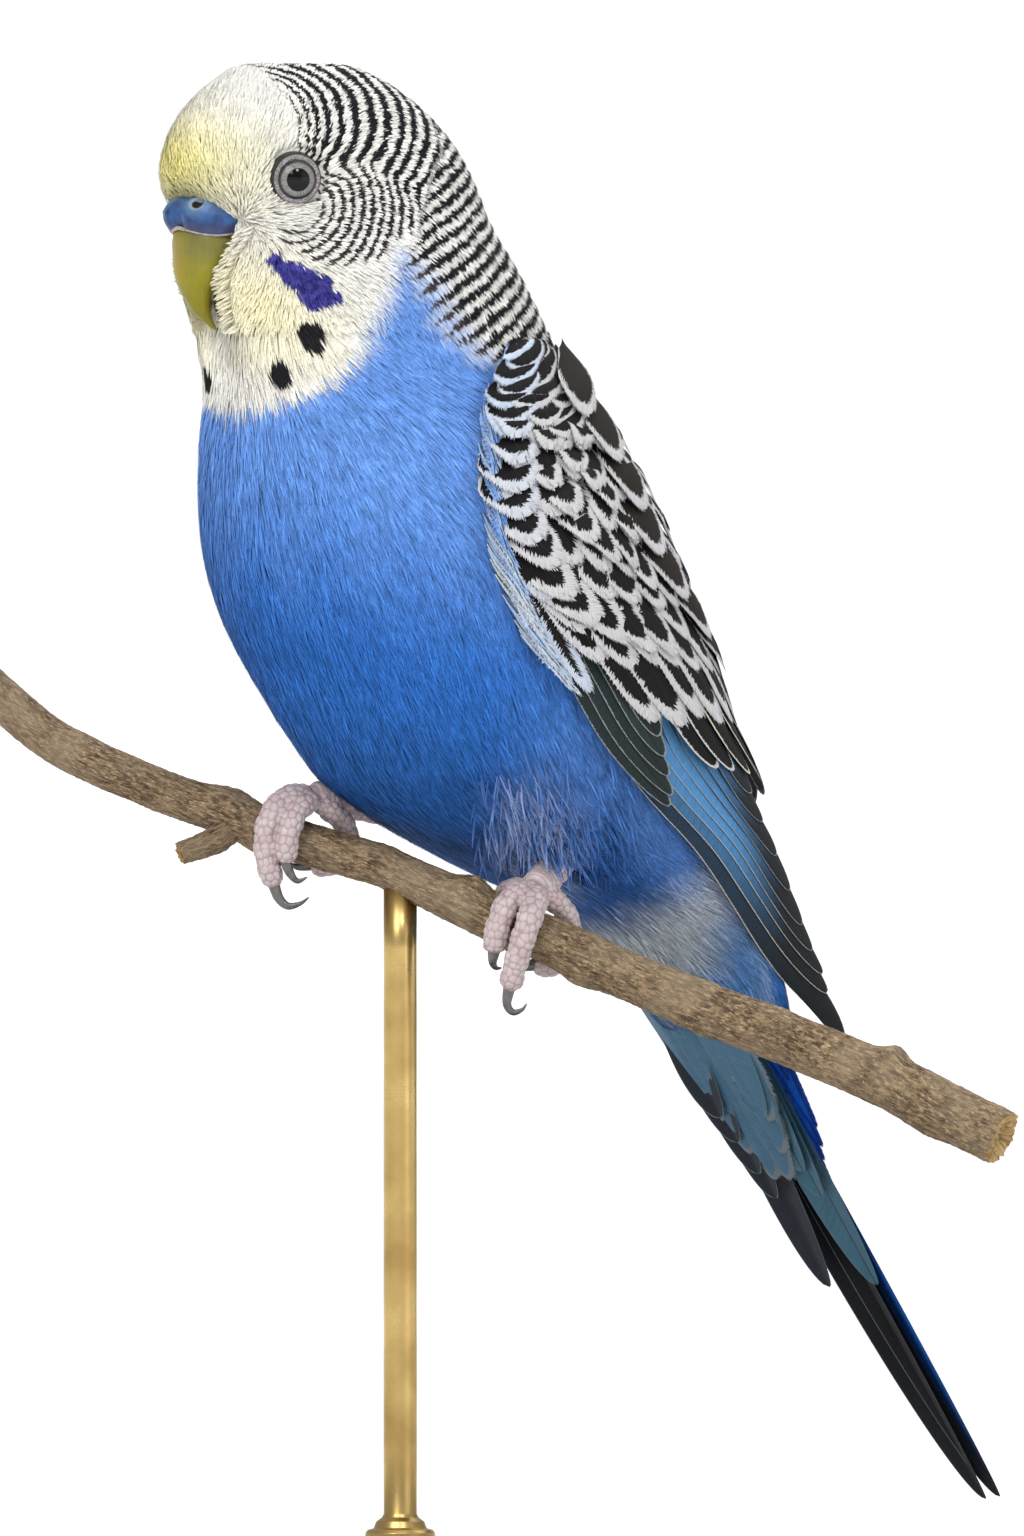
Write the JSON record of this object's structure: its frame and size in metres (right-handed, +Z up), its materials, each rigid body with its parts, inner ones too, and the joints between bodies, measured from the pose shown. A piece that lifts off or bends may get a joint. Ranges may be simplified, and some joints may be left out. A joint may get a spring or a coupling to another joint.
{
  "type": "budgerigar museum model",
  "caption": "Life-size budgerigar gripping a short cut branch, its wings folded and its long tail hanging, held by a rod on a flat base.",
  "frame": {"origin": "centre of the underside of the stand's base", "axes": "+Z up, +X to the right and +Y away from a viewer who sees the bird as in the picture; the bird looks towards -X and -Y"},
  "size_m": [0.128, 0.0939, 0.183],
  "materials": {
    "head_feathers": "soft, matt",
    "body_feathers": "soft, matt",
    "wing_feathers": "soft, slight sheen",
    "tail_feathers": "soft, slight sheen",
    "eye": "polished",
    "cere": "satin, waxy",
    "beak": "satin",
    "leg_skin": "matt, scaly",
    "claw": "satin",
    "bark": "rough bark",
    "stand_wood": "dark, satin",
    "stand_rod": "satin"
  },
  "bodies": {
    "root": {"head": "head_feathers", "neck": "body_feathers", "torso": "body_feathers", "rump": "body_feathers", "thigh_left": "body_feathers", "thigh_right": "body_feathers", "wing_left": "wing_feathers", "wing_right": "wing_feathers", "tail": "tail_feathers", "eye_left": "eye", "eye_right": "eye", "cere": "cere", "beak_upper": "beak", "beak_lower": "beak", "leg_left": "leg_skin", "leg_right": "leg_skin", "claw_left_outer_front": "claw", "claw_left_inner_front": "claw", "claw_left_outer_back": "claw", "claw_left_inner_back": "claw", "claw_right_outer_front": "claw", "claw_right_inner_front": "claw", "claw_right_outer_back": "claw", "claw_right_inner_back": "claw", "perch": "bark", "stand_base": "stand_wood", "stand_rod": "stand_rod"}
  },
  "joints": []
}
